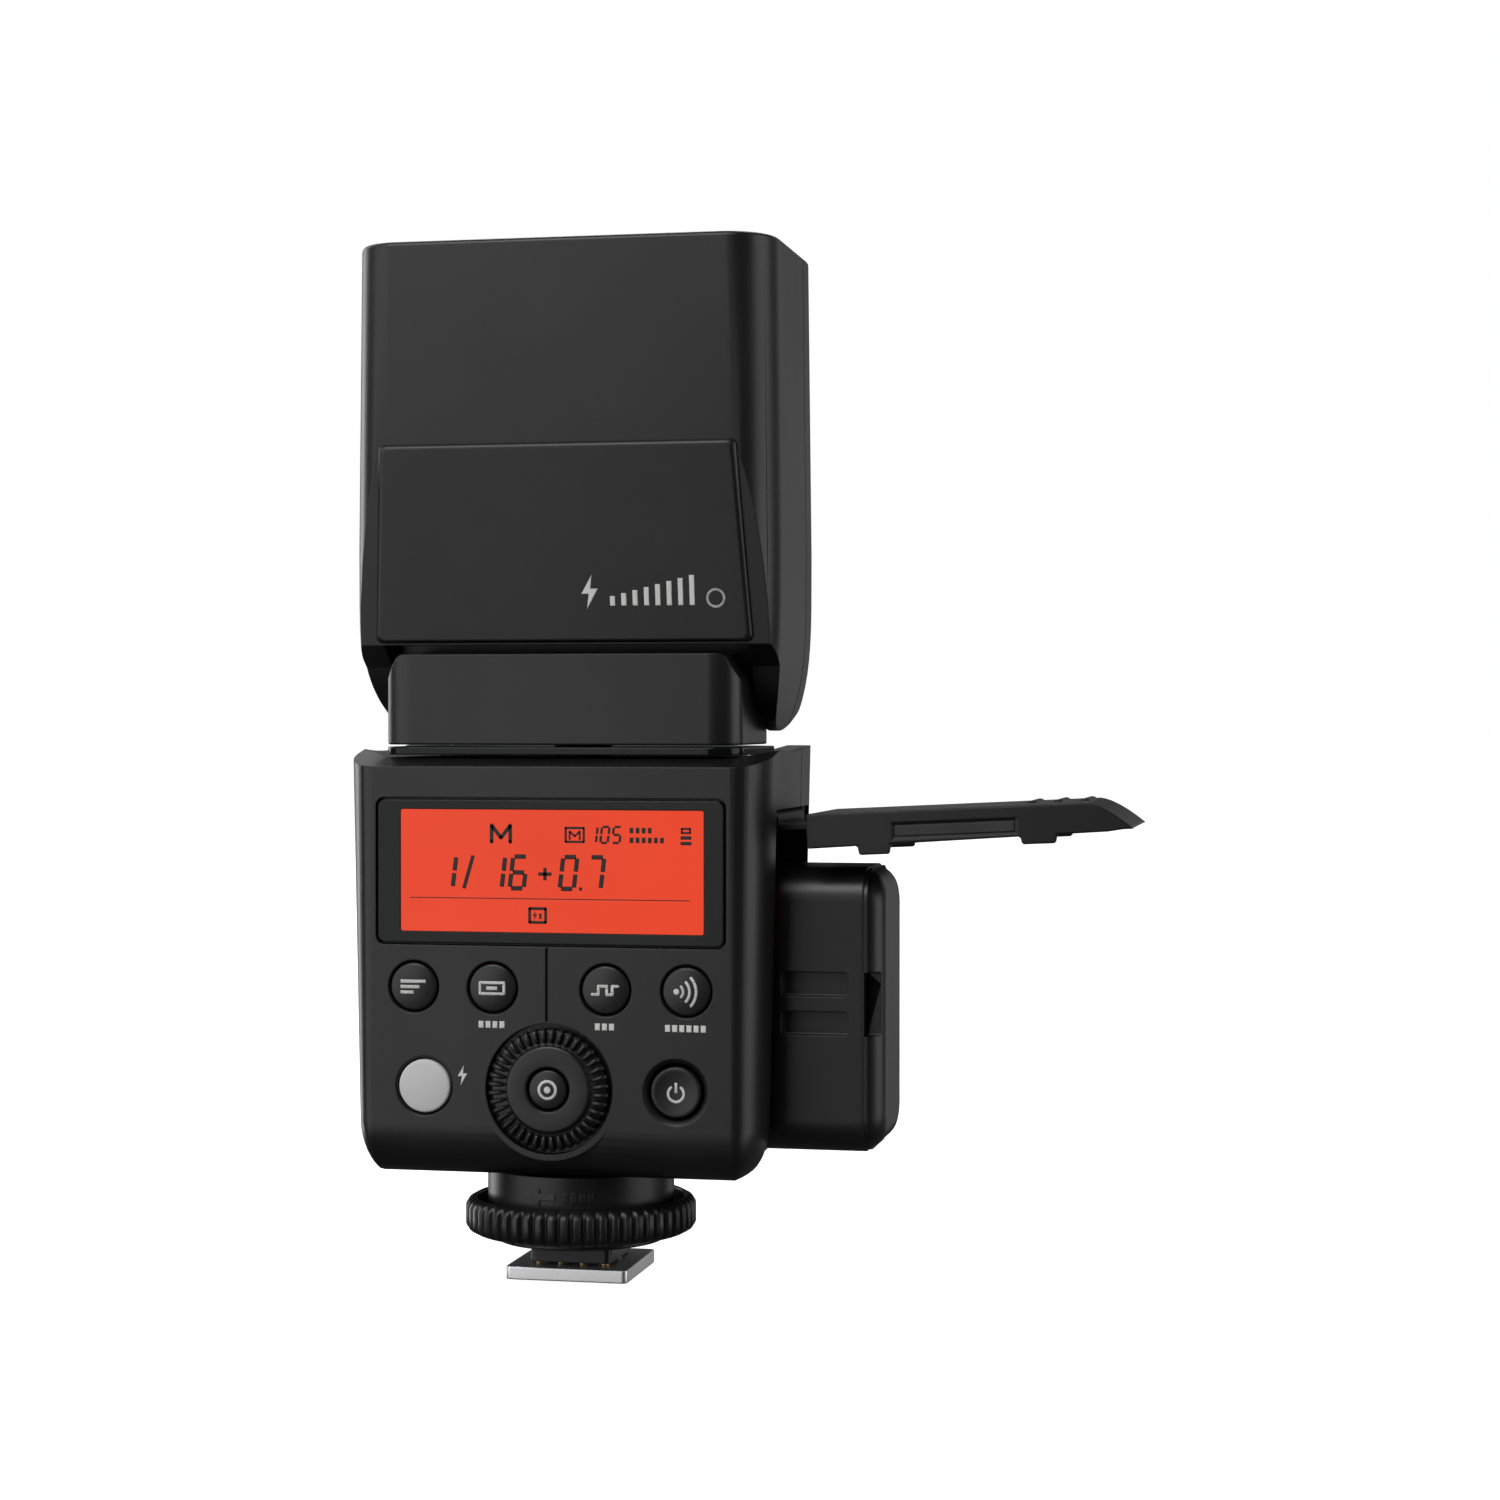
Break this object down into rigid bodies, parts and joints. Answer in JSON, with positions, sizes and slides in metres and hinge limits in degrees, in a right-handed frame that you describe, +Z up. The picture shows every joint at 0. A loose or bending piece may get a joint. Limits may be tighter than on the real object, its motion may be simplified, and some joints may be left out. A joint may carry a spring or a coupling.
{
  "type": "speedlight flash",
  "caption": "Compact shoe-mount speedlight with rear display and dial, side battery bay with hinged door, and a swivelling, tilting zoom head.",
  "frame": {"origin": "centre of the shoe foot's underside", "axes": "+Z up through the foot, the body and the upright head; -Y is the side with the display and dial; +X is the side with the battery door"},
  "size_m": [0.1154, 0.0412, 0.1539],
  "materials": {
    "black_shell": "satin, fine-grained",
    "black_inner": "matte",
    "screen_gloss": "gloss",
    "lcd_red": "lit, orange-red",
    "circuit_board": "solder mask",
    "grey_rubber": "matte",
    "light_grey_plastic": "satin",
    "bright_steel": "plated",
    "contact_brass": "plated",
    "reflector_aluminium": "polished",
    "clear_plastic": "clear, ribbed",
    "tube_glass": "clear",
    "white_plastic": "matte",
    "red_window": "dark red, clear"
  },
  "bodies": {
    "body": {"af_window": "red_window", "battery_bay": "black_inner", "battery_contacts": "contact_brass", "bottom_screw_left": "bright_steel", "bottom_screw_right": "bright_steel", "button_pad": "grey_rubber", "dial_encoder": "bright_steel", "display_window": "screen_gloss", "door_hinge_pin": "bright_steel", "flash_board": "circuit_board", "foot_block": "black_inner", "foot_collar": "black_inner", "foot_plate": "bright_steel", "front_cover": "black_shell", "lcd_module": "lcd_red", "main_board": "circuit_board", "rear_cover": "black_shell", "usb_socket": "bright_steel"},
    "head": {"head_rear_shell": "black_shell", "head_front_shell": "black_shell", "head_rear_panel": "black_shell", "tilt_hub_left": "bright_steel", "tilt_hub_right": "bright_steel", "lens_bezel": "black_inner", "fresnel_lens": "clear_plastic", "zoom_motor": "bright_steel", "head_board": "circuit_board", "panel_guide": "black_inner"},
    "neck": {"neck_rear_shell": "black_shell", "neck_front_shell": "black_shell", "swivel_skirt": "black_shell", "swivel_shaft": "black_inner", "swivel_retainer": "bright_steel", "main_capacitor": "black_inner"},
    "zoom_unit": {"reflector": "reflector_aluminium", "flash_tube": "tube_glass", "zoom_carriage": "black_inner"},
    "zoom_lead_screw": {"zoom_screw": "contact_brass"},
    "wide_panel": {"wide_panel": "clear_plastic"},
    "bounce_card": {"bounce_card": "white_plastic"},
    "mode_button": {"mode_button": "black_inner"},
    "zoom_button": {"zoom_button": "black_inner"},
    "sync_button": {"sync_button": "black_inner"},
    "slave_button": {"slave_button": "black_inner"},
    "test_button": {"test_button": "light_grey_plastic"},
    "power_button": {"power_button": "black_inner"},
    "set_button": {"set_button": "black_inner"},
    "dial": {"dial_wheel": "black_inner"},
    "door_arm": {"door_hinge_arm": "bright_steel"},
    "battery_door": {"battery_door": "black_shell"},
    "ejector": {"battery_ejector": "black_inner"},
    "battery": {"battery_case": "black_shell", "battery_end_cap": "black_shell"},
    "lock_ring": {"lock_ring": "black_inner"},
    "lock_pin": {"lock_pin": "bright_steel"},
    "centre_contact": {"centre_contact": "contact_brass"},
    "small_contact_1": {"small_contact_1": "contact_brass"},
    "small_contact_2": {"small_contact_2": "contact_brass"},
    "small_contact_3": {"small_contact_3": "contact_brass"},
    "small_contact_4": {"small_contact_4": "contact_brass"}
  },
  "joints": [
    {"name": "head_swivel", "type": "hinge", "parent": "body", "child": "neck", "pos_m": [0, 0.0015, 0.0784], "axis": [0, 0, 1], "range_deg": [-180, 90]},
    {"name": "head_tilt", "type": "hinge", "parent": "neck", "child": "head", "pos_m": [0, 0.0075, 0.0958], "axis": [1, 0, 0], "range_deg": [-97, 0]},
    {"name": "zoom_travel", "type": "slide", "parent": "head", "child": "zoom_unit", "axis": [0, 0, 1], "range_m": [0, 0.018]},
    {"name": "zoom_screw_turn", "type": "hinge", "parent": "head", "child": "zoom_lead_screw", "pos_m": [0.0253, 0.014, 0.125], "axis": [0, 0, 1], "range_deg": [0, 2160]},
    {"name": "wide_panel_pull", "type": "slide", "parent": "head", "child": "wide_panel", "axis": [0, 0, 1], "range_m": [0, 0.031]},
    {"name": "bounce_card_pull", "type": "slide", "parent": "head", "child": "bounce_card", "axis": [0, 0, 1], "range_m": [0, 0.031]},
    {"name": "mode_button_press", "type": "slide", "parent": "body", "child": "mode_button", "axis": [0, 1, 0], "range_m": [0, 0.0007], "stiffness_N_per_m": 600},
    {"name": "zoom_button_press", "type": "slide", "parent": "body", "child": "zoom_button", "axis": [0, 1, 0], "range_m": [0, 0.0007], "stiffness_N_per_m": 600},
    {"name": "sync_button_press", "type": "slide", "parent": "body", "child": "sync_button", "axis": [0, 1, 0], "range_m": [0, 0.0007], "stiffness_N_per_m": 600},
    {"name": "slave_button_press", "type": "slide", "parent": "body", "child": "slave_button", "axis": [0, 1, 0], "range_m": [0, 0.0007], "stiffness_N_per_m": 600},
    {"name": "test_button_press", "type": "slide", "parent": "body", "child": "test_button", "axis": [0, 1, 0], "range_m": [0, 0.0008], "stiffness_N_per_m": 600},
    {"name": "power_button_press", "type": "slide", "parent": "body", "child": "power_button", "axis": [0, 1, 0], "range_m": [0, 0.0006], "stiffness_N_per_m": 600},
    {"name": "set_button_press", "type": "slide", "parent": "body", "child": "set_button", "axis": [0, 1, 0], "range_m": [0, 0.0005], "stiffness_N_per_m": 600},
    {"name": "dial_turn", "type": "hinge", "parent": "body", "child": "dial", "pos_m": [0, -0.018, 0.0296], "axis": [0, -1, 0], "continuous": true},
    {"name": "door_turn", "type": "hinge", "parent": "body", "child": "door_arm", "pos_m": [0.0298, 0.005, 0.0682], "axis": [0, -1, 0], "range_deg": [-94.07, 0]},
    {"name": "door_latch_slide", "type": "slide", "parent": "door_arm", "child": "battery_door", "axis": [0.9988, 0, 0.0489], "range_m": [-0.0028, 0]},
    {"name": "ejector_travel", "type": "slide", "parent": "body", "child": "ejector", "axis": [1, 0, 0], "range_m": [-0.0193, 0]},
    {"name": "battery_pull", "type": "slide", "parent": "ejector", "child": "battery", "axis": [1, 0, 0], "range_m": [0, 0.045]},
    {"name": "lock_ring_turn", "type": "hinge", "parent": "body", "child": "lock_ring", "pos_m": [0, 0, 0.009], "axis": [0, 0, 1], "range_deg": [0, 60]},
    {"name": "lock_pin_travel", "type": "slide", "parent": "body", "child": "lock_pin", "axis": [0, 0, -1], "range_m": [0, 0.0016]},
    {"name": "centre_contact_press", "type": "slide", "parent": "body", "child": "centre_contact", "axis": [0, 0, 1], "range_m": [0, 0.0005], "stiffness_N_per_m": 300},
    {"name": "small_contact_1_press", "type": "slide", "parent": "body", "child": "small_contact_1", "axis": [0, 0, 1], "range_m": [0, 0.0005], "stiffness_N_per_m": 300},
    {"name": "small_contact_2_press", "type": "slide", "parent": "body", "child": "small_contact_2", "axis": [0, 0, 1], "range_m": [0, 0.0005], "stiffness_N_per_m": 300},
    {"name": "small_contact_3_press", "type": "slide", "parent": "body", "child": "small_contact_3", "axis": [0, 0, 1], "range_m": [0, 0.0005], "stiffness_N_per_m": 300},
    {"name": "small_contact_4_press", "type": "slide", "parent": "body", "child": "small_contact_4", "axis": [0, 0, 1], "range_m": [0, 0.0005], "stiffness_N_per_m": 300}
  ],
  "couplings": [
    {"joint": "zoom_screw_turn", "follows": "zoom_travel", "rad_per_m": 2094.4},
    {"joint": "ejector_travel", "follows": "door_turn", "m_per_rad": 0.011754},
    {"joint": "lock_pin_travel", "follows": "lock_ring_turn", "m_per_rad": 0.0015277}
  ]
}
